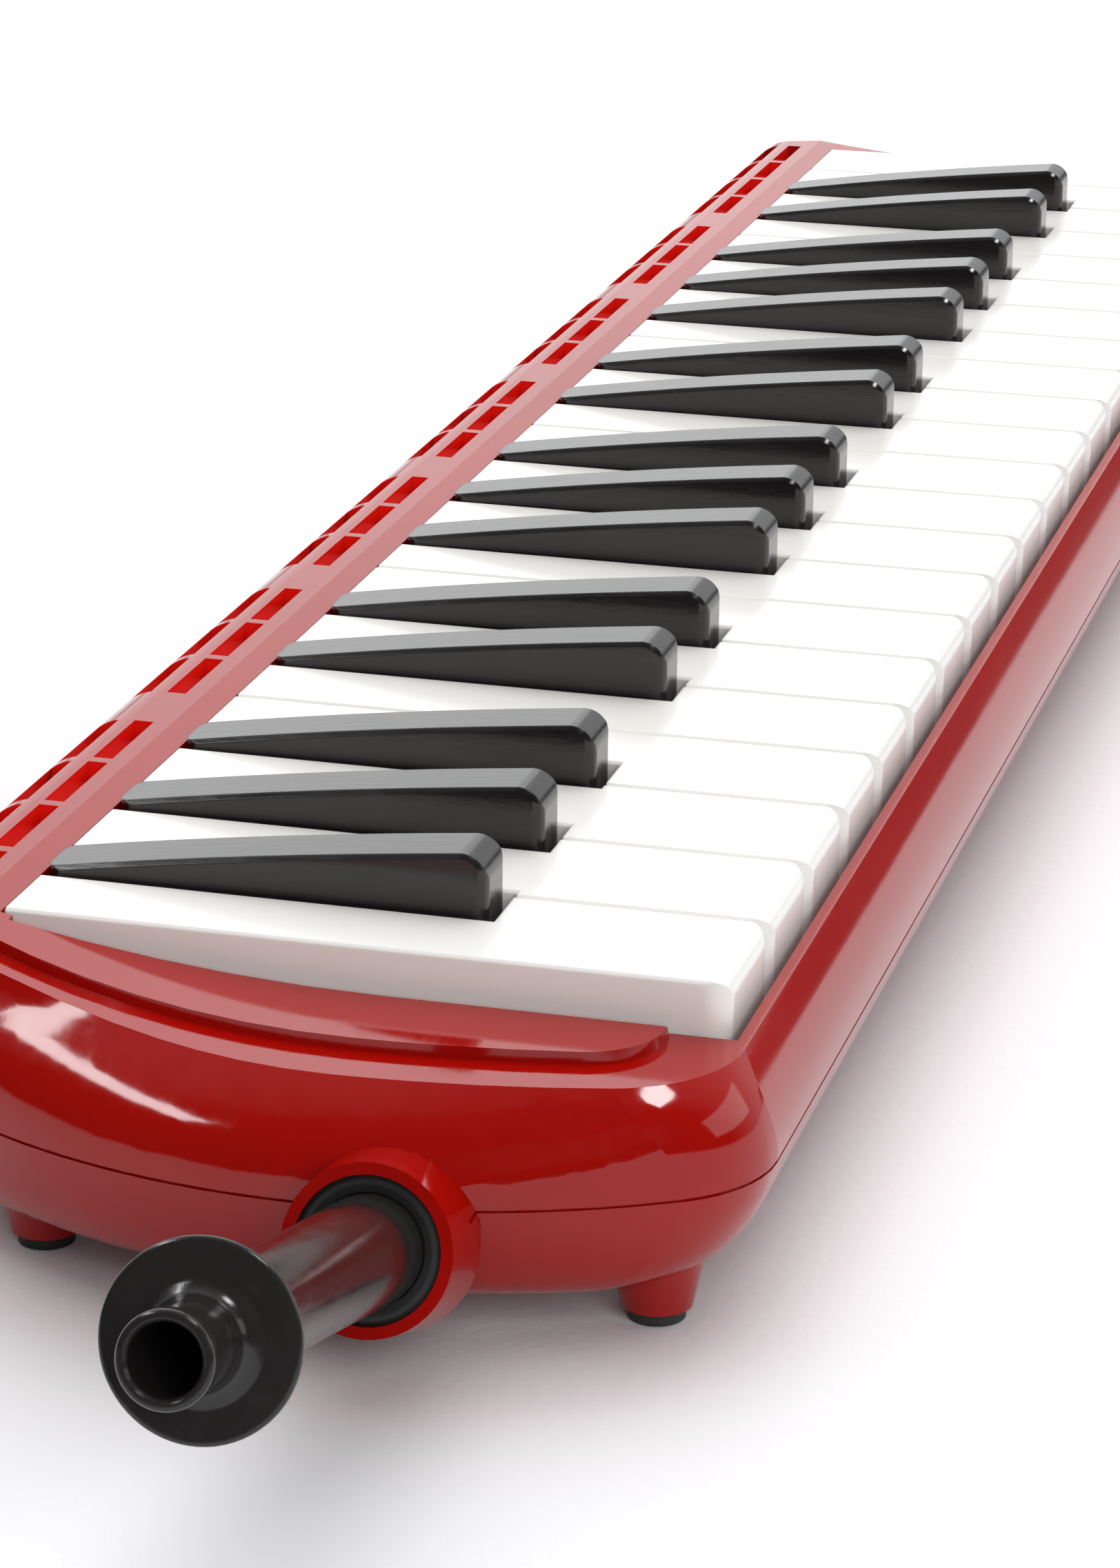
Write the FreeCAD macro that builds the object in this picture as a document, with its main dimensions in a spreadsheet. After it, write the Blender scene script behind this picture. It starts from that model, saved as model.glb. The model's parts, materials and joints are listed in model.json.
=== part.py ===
import FreeCAD, Part
import math
import os

import Sketcher
from FreeCAD import Placement, Rotation, Vector

# A 37-key melodica: a two-shell case, a keyboard from F3 to F6 on one hinge shaft, and a wind system.
#
# The keyboard frame has its origin at the low end of the keyboard, where the white keys' tops meet the rear
# deck: X runs towards the high notes, Y away from the player and Z up. Each sub-part's Placement moves it
# from there to the part's own frame. The origin of that frame is under the middle of the whole instrument, on
# the surface that it stands on.

DIMENSIONS = [
    ("frame_x", -180.4, "keyboard frame to part frame"),
    ("frame_y", 37.4, "keyboard frame to part frame"),
    ("frame_z", 35.9, "keyboard frame to part frame, and the feet's depth"),
    ("white_pitch", 20.0, "white key pitch"),
    ("white_count", 22, "white keys"),
    ("white_front", -83.1, "white key front face"),
    ("black_front", -52.5, "black key front face"),
    ("key_rear", -0.35, "rear end of every key top"),
    ("key_gap", 0.4, "gap between white keys"),
    ("key_depth", 8.8, "key skirt"),
    ("front_depth", 10.7, "white key skirt at its front end"),
    ("front_skirt", -64.0, "rear end of the deeper skirt"),
    ("key_wall", 1.6, "key wall"),
    ("black_width", 8.0, "black key width"),
    ("black_height", 7.0, "black key front, above the white keys"),
    ("black_rear_height", 0.5, "black key rear, above the white keys"),
    ("notch_gap", 0.9, "side gap round a black key"),
    ("notch_front_gap", 1.3, "gap in front of a black key"),
    ("shift_outer", 3.4, "F sharp and A sharp, off the gap between their white keys"),
    ("shift_inner", 1.6, "C sharp and D sharp, off the gap between their white keys"),
    ("tail_start", 5.4, "first key tail's centre"),
    ("tail_pitch", 11.6667, "key tail pitch"),
    ("tail_width", 6.0, "key tail width"),
    ("tail_end", 9.2, "rear end of a key tail"),
    ("pivot_y", -4.2, "hinge shaft axis"),
    ("pivot_z", -6.6, "hinge shaft axis"),
    ("shaft_radius", 1.0, "hinge shaft"),
    ("running_gap", 0.05, "shaft in its bores, spigot in its bush"),
    ("pad_y", 6.2, "valve pad centre"),
    ("pad_radius", 2.7, "valve pad"),
    ("pad_top", -9.9, "valve pad's top face"),
    ("board_top", -12.2, "valve board's top face"),
    ("board_thick", 2.0, "valve board"),
    ("parting", -17.5, "seam between the two shells"),
    ("case_bottom", -29.7, "underside of the lower case"),
    ("case_half", 249.5, "middle of the keyboard to the end of the case"),
    ("case_front", -90.0, "front of the case"),
    ("case_rear", 15.2, "rear of the case"),
    ("apex_y", -42.0, "where each end bulges most"),
    ("bulge", 77.0, "radius of each end, in plan"),
    ("corner", 15.0, "case corner radius, in plan"),
    ("wall", 2.2, "case wall"),
    ("rest_gap", 0.3, "gap between a resting key and what it nearly touches"),
    ("deck_low", -4.8, "end panels' level beside the key fronts"),
    ("deck_high", 0.45, "rear deck's level"),
    ("deck_bend", -45.0, "where the end panels start to rise"),
    ("deck_crease", 3.3, "where the rise meets the rear deck"),
    ("deck_edge", 9.0, "rear edge of the flat deck"),
    ("deck_round", 6.2, "radius behind the rear deck"),
    ("margin_step", 1.3, "drop from the raised panels to the margin round them"),
    ("panel_half", 232.9, "middle of the keyboard to the end of the raised panel"),
    ("panel_front", -75.6, "front of the raised panels"),
    ("panel_corner", 9.0, "corner radius of the raised panels"),
    ("panel_bulge", 130.0, "radius of the raised panels' ends, in plan"),
    ("key_margin", 1.7, "raised panels, back from the ends of the keyboard"),
    ("panel_slope", 1.5, "width of the slope at the raised panels' edge"),
    ("rail_inner", -84.3, "inner edge of the front rail"),
    ("rail_top", -10.8, "top of the front rail"),
    ("opening_gap", 0.35, "case opening beyond each end of the keyboard"),
    ("seam", 0.35, "seam groove"),
    ("slot_length", 14.8, "vent slot"),
    ("slot_pitch", 16.4, "vent slots in a group"),
    ("slot_group", 59.4, "groups of vent slots"),
    ("slot_front", 5.6, "front row's near edge"),
    ("slot_front_end", 8.1, "front row's far edge"),
    ("slot_rear", 10.2, "rear row's near edge"),
    ("slot_rear_end", 12.9, "rear row's far edge"),
    ("rim_x", -36.8, "centre of the air socket's rim"),
    ("rim_y", -53.9, "centre of the air socket's rim"),
    ("rim_z", -18.6, "centre of the air socket's rim"),
    ("socket_tilt", 16.6, "degrees that the socket points up"),
    ("socket_yaw", 2.9, "degrees that the socket points towards the player"),
    ("rim_radius", 9.2, "socket collar at its rim"),
    ("collar_radius", 10.1, "socket collar at its root"),
    ("collar_length", 9.0, "socket collar"),
    ("bush_radius", 7.9, "inlet bush"),
    ("bush_length", 8.4, "inlet bush"),
    ("bush_recess", 0.9, "bush face, back from the rim"),
    ("passage_radius", 4.5, "air passage through the case's wall, behind the bush"),
    ("passage_depth", 18.0, "end of that passage, from the rim"),
    ("tube_radius", 5.9, "mouthpiece tube at the bush"),
    ("tube_end", 5.15, "mouthpiece tube at the lip guard"),
    ("bore_radius", 3.45, "mouthpiece bore"),
    ("tube_length", 61.0, "rim to the lip guard"),
    ("spigot", 8.0, "mouthpiece in the bush"),
    ("guard_radius", 9.6, "lip guard"),
    ("guard_thick", 1.1, "lip guard"),
    ("nozzle_root", 6.2, "nozzle beside the lip guard"),
    ("nozzle_neck", 4.15, "nozzle"),
    ("nozzle_lip", 4.6, "nozzle's lip"),
    ("nozzle_length", 11.4, "nozzle"),
    ("foot_x", 7.6, "feet beyond each end of the keyboard"),
    ("foot_front", -77.6, "front feet"),
    ("foot_rear", -7.3, "rear feet"),
    ("foot_radius", 6.2, "foot boss at the case"),
    ("foot_tip", 4.0, "foot boss at its end"),
    ("foot_pad", 3.2, "rubber foot"),
    ("foot_pad_height", 1.5, "rubber foot below its boss"),
    ("tray_floor", -24.0, "underside of the wind tray"),
    ("tray_front", -60.0, "front of the wind tray"),
    ("tray_rear", 10.4, "rear of the wind tray"),
    ("tray_wall", 1.6, "wind tray wall"),
    ("cells_bottom", -20.2, "underside of the reed cells"),
    ("cell_width", 9.6, "reed cell"),
    ("plate_thick", 1.0, "reed plate"),
    ("reed_thick", 0.3, "reed tongue"),
    ("reed_low", 30.0, "lowest reed's length"),
    ("reed_high", 13.0, "highest reed's length"),
    ("reed_width", 3.6, "reed tongue"),
    ("reed_root", -35.0, "riveted end of the reeds"),
    ("drain_x", 424.0, "drain valve axis"),
    ("drain_y", -52.0, "drain valve axis"),
]

NOTES = ["F", "Fs", "G", "Gs", "A", "As", "B", "C", "Cs", "D", "Ds", "E"]
KEYS = [f"{NOTES[i % 12]}{3 + (i + 5) // 12}" for i in range(37)]
BLACK_SHIFT = {
    "Fs": "-Dims.shift_outer",
    "Gs": "0",
    "As": "Dims.shift_outer",
    "Cs": "-Dims.shift_inner",
    "Ds": "Dims.shift_inner",
}
PLANE_TURN = {
    "XY_Plane": Rotation(),
    "XZ_Plane": Rotation(Vector(1, 0, 0), 90),
    "YZ_Plane": Rotation(Vector(1, 1, 1), 120),
}
SLOT_GROUPS = [(-3, 4, -0.5), (-2, 3, 0), (-1, 3, 0), (0, 3, 0), (1, 3, 0), (2, 3, 0), (3, 4, 0.5)]
MIDDLE = "Dims.white_pitch * Dims.white_count / 2"
KEYBOARD_END = "Dims.white_pitch * Dims.white_count"

doc = FreeCAD.newDocument("melodica")
dims = doc.addObject("Spreadsheet::Sheet", "Dims")
nodes = []


def fill_sheet():
    for row, (name, number, note) in enumerate(DIMENSIONS, start=1):
        dims.set(f"A{row}", name)
        dims.set(f"B{row}", str(number))
        dims.set(f"C{row}", note)
        dims.setAlias(f"B{row}", name)
    doc.recompute()


def value(expression):
    return float(dims.evalExpression(str(expression)))


def bind(obj, expressions):
    for name, expression in expressions.items():
        obj.setExpression(name, str(expression))


def part_node(obj, label):
    """Names a finished sub-part and moves it from the keyboard frame to the part's frame."""
    obj.Label = label
    bind(obj, {f"Placement.Base.{axis}": f"Dims.frame_{axis}" for axis in "xyz"})
    nodes.append(obj)
    return obj


# Sketches


def body_sketch(body, name, plane, offset="0"):
    sketch = body.newObject("Sketcher::SketchObject", name)
    support = [f for f in body.Origin.OriginFeatures if f.Role == plane][0]
    sketch.AttachmentSupport = [(support, "")]
    sketch.MapMode = "FlatFace"
    bind(sketch, {"AttachmentOffset.Base.z": offset})
    return sketch


def free_sketch(name, plane, offset="0"):
    """A sketch that lies off its plane by offset, along the plane's normal."""
    sketch = doc.addObject("Sketcher::SketchObject", name)
    sketch.Placement = Placement(Vector(), PLANE_TURN[plane])
    axis, sign = {"XY_Plane": ("z", ""), "XZ_Plane": ("y", "-1 * "), "YZ_Plane": ("x", "")}[plane]
    bind(sketch, {f"Placement.Base.{axis}": f"{sign}({offset})"})
    return sketch


def place(sketch, geometry, position, x, y):
    """Holds a point of the sketch at (x, y), which are expressions."""
    for kind, expression in (("DistanceX", x), ("DistanceY", y)):
        made = sketch.addConstraint(Sketcher.Constraint(kind, -1, 1, geometry, position, value(expression)))
        sketch.setExpression(f"Constraints[{made}]", str(expression))


def draw(sketch, path):
    """A closed outline. A corner is (x, y), or (x, y, (middle x, middle y)) if an arc leads on from it."""
    at = [Vector(value(p[0]), value(p[1]), 0) for p in path]
    first = sketch.GeometryCount
    ends = []
    for i, corner in enumerate(path):
        start, end = at[i], at[(i + 1) % len(path)]
        if len(corner) == 2:
            sketch.addGeometry(Part.LineSegment(start, end), False)
            ends.append((1, 2))
            continue
        middle = Vector(value(corner[2][0]), value(corner[2][1]), 0)
        turns_left = (middle - start).cross(end - middle).z > 0
        sketch.addGeometry(Part.Arc(*((start, middle, end) if turns_left else (end, middle, start))), False)
        ends.append((1, 2) if turns_left else (2, 1))
    for i, corner in enumerate(path):
        j = (i + 1) % len(path)
        sketch.addConstraint(Sketcher.Constraint("Coincident", first + i, ends[i][1], first + j, ends[j][0]))
        place(sketch, first + i, ends[i][0], corner[0], corner[1])
        if len(corner) == 3:
            middle = sketch.addGeometry(Part.Point(Vector(value(corner[2][0]), value(corner[2][1]), 0)), True)
            place(sketch, middle, 1, *corner[2])
            sketch.addConstraint(Sketcher.Constraint("PointOnObject", middle, 1, first + i))


def circle(sketch, x, y, radius):
    ring = Part.Circle(Vector(value(x), value(y), 0), Vector(0, 0, 1), value(radius))
    made = sketch.addGeometry(ring, False)
    place(sketch, made, 3, x, y)
    held = sketch.addConstraint(Sketcher.Constraint("Radius", made, value(radius)))
    sketch.setExpression(f"Constraints[{held}]", str(radius))


def draw_bulged(sketch, half, front, rear, bulge, corner):
    """A long outline with straight sides, ends that bulge in one arc each, and round corners between them."""
    middle, apex = value(MIDDLE), value("Dims.apex_y")
    reach, y0, y1, big, small = (value(e) for e in (half, front, rear, bulge, corner))
    arcs, lines = [], []
    for side in (1, -1):
        hub = Vector(middle + side * (reach - big), apex, 0)
        for y, up in ((y0, 1), (y1, -1)):
            inset = math.sqrt((big - small) ** 2 - (y + up * small - apex) ** 2)
            centre = Vector(hub.x + side * inset, y + up * small, 0)
            touch = hub + (centre - hub).normalize() * big
            arcs.append((centre, Vector(centre.x, y, 0), touch))
        lines.append(hub)
    (c0, f0, t0), (c1, r1, t1), (c2, f2, t2), (c3, r3, t3) = arcs

    def arc(centre, start, end, radius):
        angles = [math.atan2(p.y - centre.y, p.x - centre.x) for p in (start, end)]
        if angles[1] < angles[0]:
            angles[1] += 2 * math.pi
        return Part.ArcOfCircle(Part.Circle(centre, Vector(0, 0, 1), radius), *angles)

    chain = [
        Part.LineSegment(f2, f0),
        arc(c0, f0, t0, small),
        arc(lines[0], t0, t1, big),
        arc(c1, t1, r1, small),
        Part.LineSegment(r1, r3),
        arc(c3, r3, t3, small),
        arc(lines[1], t3, t2, big),
        arc(c2, t2, f2, small),
    ]
    for piece in chain:
        sketch.addGeometry(piece, False)
    for i in range(8):
        sketch.addConstraint(Sketcher.Constraint("Tangent", i, 2, (i + 1) % 8, 1))
    for i, expression in ((1, corner), (2, bulge), (3, corner), (5, corner), (6, bulge), (7, corner)):
        held = sketch.addConstraint(Sketcher.Constraint("Radius", i, chain[i].Radius))
        sketch.setExpression(f"Constraints[{held}]", str(expression))
    place(sketch, 2, 3, f"{MIDDLE} + ({half}) - ({bulge})", "Dims.apex_y")
    place(sketch, 6, 3, f"{MIDDLE} - ({half}) + ({bulge})", "Dims.apex_y")
    for i, expression in ((0, front), (4, rear)):
        sketch.addConstraint(Sketcher.Constraint("Horizontal", i))
        held = sketch.addConstraint(Sketcher.Constraint("DistanceY", -1, 1, i, 1, value(expression)))
        sketch.setExpression(f"Constraints[{held}]", str(expression))


# Solids


def box(name, low, high):
    made = doc.addObject("Part::Box", name)
    sizes = {"Length": 0, "Width": 1, "Height": 2}
    bind(made, {size: f"({high[i]}) - ({low[i]})" for size, i in sizes.items()})
    bind(made, {f"Placement.Base.{axis}": low[i] for i, axis in enumerate("xyz")})
    return made


def rod(name, x, y, bottom, top, radius, top_radius=None):
    """An upright cylinder, or a cone where top_radius is given."""
    made = doc.addObject("Part::Cone" if top_radius else "Part::Cylinder", name)
    radii = {"Radius1": radius, "Radius2": top_radius} if top_radius else {"Radius": radius}
    bind(made, {**radii, "Height": f"({top}) - ({bottom})"})
    bind(made, {"Placement.Base.x": x, "Placement.Base.y": y, "Placement.Base.z": bottom})
    return made


def inward(name, radius, depth, end_radius=None):
    """A cylinder or cone that runs into the case from the air socket's rim, along the socket's axis."""
    made = doc.addObject("Part::Cone" if end_radius else "Part::Cylinder", name)
    radii = {"Radius1": radius, "Radius2": end_radius} if end_radius else {"Radius": radius}
    spot = "vector(Dims.rim_x; Dims.rim_y; Dims.rim_z)"
    turn = "rotation(Dims.socket_yaw; 90 + Dims.socket_tilt; 0)"
    bind(made, {**radii, "Height": depth, "Placement": f"placement({spot}; {turn})"})
    return made


def socket_bore(name):
    """The bush's seat in the air socket, and a narrower passage on from it, which stays above the floor."""
    seat = inward(f"{name}_seat", "Dims.bush_radius", "Dims.bush_recess + Dims.bush_length + 0.1")
    return fuse(name, [seat, inward(f"{name}_passage", "Dims.passage_radius", "Dims.passage_depth")])


def extrude(sketch, length):
    made = doc.addObject("Part::Extrusion", sketch.Name + "_run")
    made.Base = sketch
    made.DirMode = "Normal"
    made.Solid = True
    bind(made, {"LengthFwd": length})
    return made


def loft(name, sketches):
    made = doc.addObject("Part::Loft", name)
    made.Sections = sketches
    made.Solid = True
    return made


def cut(name, base, tool):
    made = doc.addObject("Part::Cut", name)
    made.Base, made.Tool = base, tool
    return made


def common(name, base, tool):
    made = doc.addObject("Part::Common", name)
    made.Base, made.Tool = base, tool
    return made


def fuse(name, shapes):
    made = doc.addObject("Part::MultiFuse", name)
    made.Shapes = shapes
    return made


def group(name, shapes):
    """Separate solids that are one sub-part."""
    made = doc.addObject("Part::Compound", name)
    made.Links = shapes
    return made


def edge_names(shape, wanted):
    return [f"Edge{i}" for i, edge in enumerate(shape.Edges, start=1) if wanted(edge)]


def pad(body, sketch, length, downwards=False, both_ways=False):
    made = body.newObject("PartDesign::Pad", sketch.Name + "_pad")
    made.Profile = sketch
    made.Reversed = downwards
    made.Midplane = both_ways
    bind(made, {"Length": length})
    return made


def pocket(body, sketch, length, reversed_cut=False, both_ways=False):
    """A pocket that must take something away."""
    doc.recompute()
    before = body.Shape.Volume
    made = body.newObject("PartDesign::Pocket", sketch.Name + "_pocket")
    made.Profile = sketch
    made.Reversed = reversed_cut
    made.Midplane = both_ways
    bind(made, {"Length": length})
    doc.recompute()
    if not body.Shape.Volume < before - 1e-3:
        raise RuntimeError(f"{made.Name} cuts nothing")
    return made


def dress(body, kind, edges, size):
    """A fillet or chamfer on the named edges of the body's last feature."""
    last = body.Tip
    made = body.newObject(f"PartDesign::{kind}", f"{body.Name}_{kind.lower()}_{len(body.Group)}")
    made.Base = (last, edges)
    setattr(made, "Radius" if kind == "Fillet" else "Size", size)
    body.Tip = made
    doc.recompute()
    return made


# Keys


def black_centre(index):
    """The middle of a black key: it stands near the gap between two white keys."""
    whites_before = sum(1 for note in KEYS[:index] if "s" not in note)
    return f"Dims.white_pitch * {whites_before} + {BLACK_SHIFT[KEYS[index][:-1]]}"


def tail_centre(index):
    return f"Dims.tail_start + Dims.tail_pitch * {index}"


def inside_edge(index, side):
    """Where a white key stops beside its neighbour: at a black key's notch, or at None."""
    beside = index + side
    if not 0 <= beside < len(KEYS) or "s" not in KEYS[beside]:
        return None
    return f"{black_centre(beside)} - ({side}) * (Dims.black_width / 2 + Dims.notch_gap)"


def white_outline(index, inset):
    """The top of a white key, with its notches, drawn inside its real outline by inset."""
    place_in_row = sum(1 for note in KEYS[:index] if "s" not in note)
    left = f"Dims.white_pitch * {place_in_row} + Dims.key_gap / 2 + {inset}"
    right = f"Dims.white_pitch * {place_in_row + 1} - Dims.key_gap / 2 - {inset}"
    front, rear = f"Dims.white_front + {inset}", f"Dims.key_rear - {inset}"
    notch = f"Dims.black_front - Dims.notch_front_gap - {inset}"
    path = [(left, front), (right, front)]
    notch_right, notch_left = inside_edge(index, 1), inside_edge(index, -1)
    if notch_right:
        path += [(right, notch), (f"{notch_right} - {inset}", notch), (f"{notch_right} - {inset}", rear)]
    else:
        path += [(right, rear)]
    if notch_left:
        path += [(f"{notch_left} + {inset}", rear), (f"{notch_left} + {inset}", notch), (left, notch)]
    else:
        path += [(left, rear)]
    return path


def add_tail(body, note, index):
    """The lever behind and under the key's top, with the valve pad's place and the hinge shaft's bore."""
    tail = body_sketch(body, f"{note}_tail", "YZ_Plane", tail_centre(index))
    skirt = "-Dims.key_depth"
    draw(tail, [
        ("Dims.pivot_y - 3.4", -1), ("Dims.key_rear - 0.6", -1), ("Dims.key_rear - 0.6", -3.4),
        ("Dims.tail_end", -4.9), ("Dims.tail_end", "Dims.pad_top"),
        ("Dims.pad_y - Dims.pad_radius", "Dims.pad_top"), ("Dims.pad_y - Dims.pad_radius", skirt),
        ("Dims.pivot_y - 3.4", skirt),
    ])
    pad(body, tail, "Dims.tail_width", both_ways=True)
    bore = body_sketch(body, f"{note}_bore", "YZ_Plane", tail_centre(index))
    circle(bore, "Dims.pivot_y", "Dims.pivot_z", "Dims.shaft_radius + Dims.running_gap")
    pocket(body, bore, "Dims.white_pitch * 3", both_ways=True)


def round_corners(body, name, corners, radius):
    """Cuts the upright corners at (x, y, towards the middle in x, in y) to a radius, from top to bottom."""
    sketch = body_sketch(body, name, "XY_Plane")
    slant = 1 - math.sqrt(0.5)
    for x, y, side, inward_y in corners:
        draw(sketch, [
            (f"{x} - ({side})", f"{y} - ({inward_y})"),
            (f"{x} + ({side * radius})", f"{y} - ({inward_y})"),
            (f"{x} + ({side * radius})", y,
             (f"{x} + ({side * radius * slant})", f"{y} + ({inward_y * radius * slant})")),
            (x, f"{y} + ({inward_y * radius})"),
            (f"{x} - ({side})", f"{y} + ({inward_y * radius})"),
        ])
    pocket(body, sketch, "Dims.key_depth * 4", both_ways=True)


def top_side_edges(body):
    return edge_names(body.Shape, lambda e: e.BoundBox.YLength > 20 and e.BoundBox.ZMax > -0.5)


def white_lever(index):
    note = KEYS[index]
    body = doc.addObject("PartDesign::Body", f"{note}_lever")
    outline = white_outline(index, "0")
    top = body_sketch(body, f"{note}_top", "XY_Plane")
    draw(top, outline)
    pad(body, top, "Dims.front_depth", downwards=True)
    doc.recompute()
    dress(body, "Chamfer", top_side_edges(body), 0.35)
    nose = body_sketch(body, f"{note}_nose", "YZ_Plane")
    front, radius = "Dims.white_front", 2.2
    draw(nose, [
        (f"{front} - 1", f"-{radius}"),
        (front, f"-{radius}", (f"{front} + {radius * 0.293}", f"-{radius * 0.293}")),
        (f"{front} + {radius}", 0), (f"{front} + {radius}", 1), (f"{front} - 1", 1),
    ])
    pocket(body, nose, "Dims.white_pitch * Dims.white_count * 2", both_ways=True)
    round_corners(body, f"{note}_corners", [(*outline[0], 1, 1), (*outline[1], -1, 1)], 2.8)
    hollow = body_sketch(body, f"{note}_hollow", "XY_Plane", "-Dims.front_depth")
    draw(hollow, white_outline(index, "Dims.key_wall"))
    pocket(body, hollow, "Dims.front_depth - Dims.key_wall - 0.4", reversed_cut=True)
    heel = body_sketch(body, f"{note}_heel", "YZ_Plane")
    draw(heel, [("Dims.front_skirt", "-Dims.front_depth - 1"), (2, "-Dims.front_depth - 1"),
                (2, "-Dims.key_depth"), ("Dims.front_skirt + 2", "-Dims.key_depth")])
    pocket(body, heel, "Dims.white_pitch * Dims.white_count * 2", both_ways=True)
    add_tail(body, note, index)
    return body


def black_lever(index):
    note = KEYS[index]
    body = doc.addObject("PartDesign::Body", f"{note}_lever")
    side = body_sketch(body, f"{note}_side", "YZ_Plane", black_centre(index))
    nose = 3.2
    front_top = "Dims.black_height"
    draw(side, [
        ("Dims.black_front", "-Dims.key_depth"), ("Dims.key_rear", "-Dims.key_depth"),
        ("Dims.key_rear", "Dims.black_rear_height", ("Dims.black_front / 2", "Dims.black_height * 0.62")),
        (f"Dims.black_front + {nose}", front_top,
         (f"Dims.black_front + {nose * 0.27}", f"{front_top} - {nose * 0.3}")),
        ("Dims.black_front", f"{front_top} - {nose}"),
    ])
    pad(body, side, "Dims.black_width", both_ways=True)
    doc.recompute()
    dress(body, "Chamfer", top_side_edges(body), 0.5)
    half, centre = "Dims.black_width / 2", black_centre(index)
    left, right = f"{centre} - {half}", f"{centre} + {half}"
    front, rear = "Dims.black_front", "Dims.key_rear"
    round_corners(body, f"{note}_front", [(left, front, 1, 1), (right, front, -1, 1)], 1.5)
    round_corners(body, f"{note}_rear", [(left, rear, 1, -1), (right, rear, -1, -1)], 2.2)
    hollow = body_sketch(body, f"{note}_hollow", "XY_Plane", "-Dims.key_depth")
    start, end = "Dims.black_front + Dims.key_wall", "Dims.pivot_y - 3.4"
    near, far = f"{left} + Dims.key_wall", f"{right} - Dims.key_wall"
    draw(hollow, [(near, start), (far, start), (far, end), (near, end)])
    pocket(body, hollow, "Dims.key_depth - Dims.key_wall - 0.4", reversed_cut=True)
    add_tail(body, note, index)
    return body


def make_keys():
    for index, note in enumerate(KEYS):
        lever = black_lever(index) if "s" in note else white_lever(index)
        seat = "Dims.board_top + Dims.rest_gap"
        middle = tail_centre(index)
        valve_pad = rod(f"{note}_pad", middle, "Dims.pad_y", seat, "Dims.pad_top", "Dims.pad_radius")
        part_node(group(f"{note}_key", [lever, valve_pad]), f"key_{note}")


# Case


def deck_profile(name, drop, reach, inner=False):
    """The case's section above the seam: end panels, a long rise, the rear deck and the round behind it."""
    low, high = f"Dims.deck_low - ({drop})", f"Dims.deck_high - ({drop})"
    rise = value("Dims.deck_high") - value("Dims.deck_low")
    run = value("Dims.deck_crease") - value("Dims.deck_bend")
    radius = (run ** 2 + rise ** 2) / (2 * rise)
    half_rise = radius - math.sqrt(radius ** 2 - (run / 2) ** 2)
    rounding = f"(Dims.deck_round - ({drop if inner else 0}))"
    slant = 1 - math.sqrt(0.5)
    front = "Dims.rail_inner" if inner else "Dims.case_front - 5"
    below = f"Dims.parting - {reach}"
    sketch = free_sketch(name, "YZ_Plane", f"{MIDDLE} - Dims.case_half - 5")
    draw(sketch, [
        (front, below), (front, low),
        ("Dims.deck_bend", low, (f"Dims.deck_bend + {run / 2}", f"{low} + {half_rise}")),
        ("Dims.deck_crease", high),
        ("Dims.deck_edge", high,
         (f"Dims.deck_edge + {rounding} * {1 - slant}", f"{high} - {rounding} * {slant}")),
        (f"Dims.deck_edge + {rounding}", f"{high} - {rounding}"),
        (f"Dims.deck_edge + {rounding}", below),
    ])
    return extrude(sketch, "Dims.case_half * 2 + 10")


def case_outline(name, level, front_inset, end_inset, rear_inset, flatter=0):
    """The case's outline at a level. flatter is what each end's radius gains on its value at the seam."""
    sketch = free_sketch(name, "XY_Plane", level)
    draw_bulged(sketch, f"Dims.case_half - ({end_inset})", f"Dims.case_front + ({front_inset})",
                f"Dims.case_rear - ({rear_inset})", f"Dims.bulge + {flatter}", "Dims.corner")
    return sketch


def raised_panels():
    """The end panels and the rear deck stand above the margin round them, with a slope at their edge."""
    outlines = []
    for name, level, spread in (("panel_foot", -9.0, 1), ("panel_low", -6.3, 1), ("panel_top", 3.0, 0)):
        sketch = free_sketch(name, "XY_Plane", level)
        draw_bulged(sketch, f"Dims.panel_half + Dims.panel_slope * {spread}",
                    f"Dims.panel_front - Dims.panel_slope * {spread}", "Dims.case_rear + 12",
                    "Dims.panel_bulge", "Dims.panel_corner")
        outlines.append(sketch)
    stack = [extrude(outlines[0], "2.7"), loft("panel_slopes", outlines[1:])]
    ends = [("-Dims.key_margin", 2), (f"{KEYBOARD_END} - 2", f"{KEYBOARD_END} + Dims.key_margin")]
    margins = [box(f"key_margin_{i}", (low, "Dims.case_front", -12), (high, -1.5, 5))
               for i, (low, high) in enumerate(ends)]
    return cut("panels_beside_keys", fuse("panels_plan", stack), group("key_margins", margins))


def rail_space():
    """What is cut away above the front rail: its slope, with a step line, and slanted ends."""
    slope = free_sketch("rail_slope", "YZ_Plane", "-30")
    draw(slope, [
        ("Dims.rail_inner + 1", "Dims.rail_top"), ("Dims.rail_inner", "Dims.rail_top"),
        ("Dims.rail_inner - 1.7", "Dims.rail_top - 1.9"), ("Dims.rail_inner - 1.6", "Dims.rail_top - 2.2"),
        ("Dims.case_front - 0.3", "Dims.parting - 0.6"), ("Dims.case_front - 9", "Dims.parting - 0.6"),
        ("Dims.case_front - 9", 6), ("Dims.rail_inner + 1", 6),
    ])
    ends = free_sketch("rail_ends", "XZ_Plane", "Dims.rail_inner - (-20)")
    lean = 1.42
    low_z, high_z = "Dims.parting - 2", "6"
    near_low = f"0.6 + {lean} * (Dims.deck_low - ({low_z}))"
    near_high = f"0.6 - {lean} * ({high_z} - Dims.deck_low)"
    draw(ends, [
        (near_low, low_z), (f"{KEYBOARD_END} - ({near_low})", low_z),
        (f"{KEYBOARD_END} - ({near_high})", high_z), (near_high, high_z),
    ])
    return common("rail_space", extrude(slope, "500"), extrude(ends, "60"))


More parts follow.
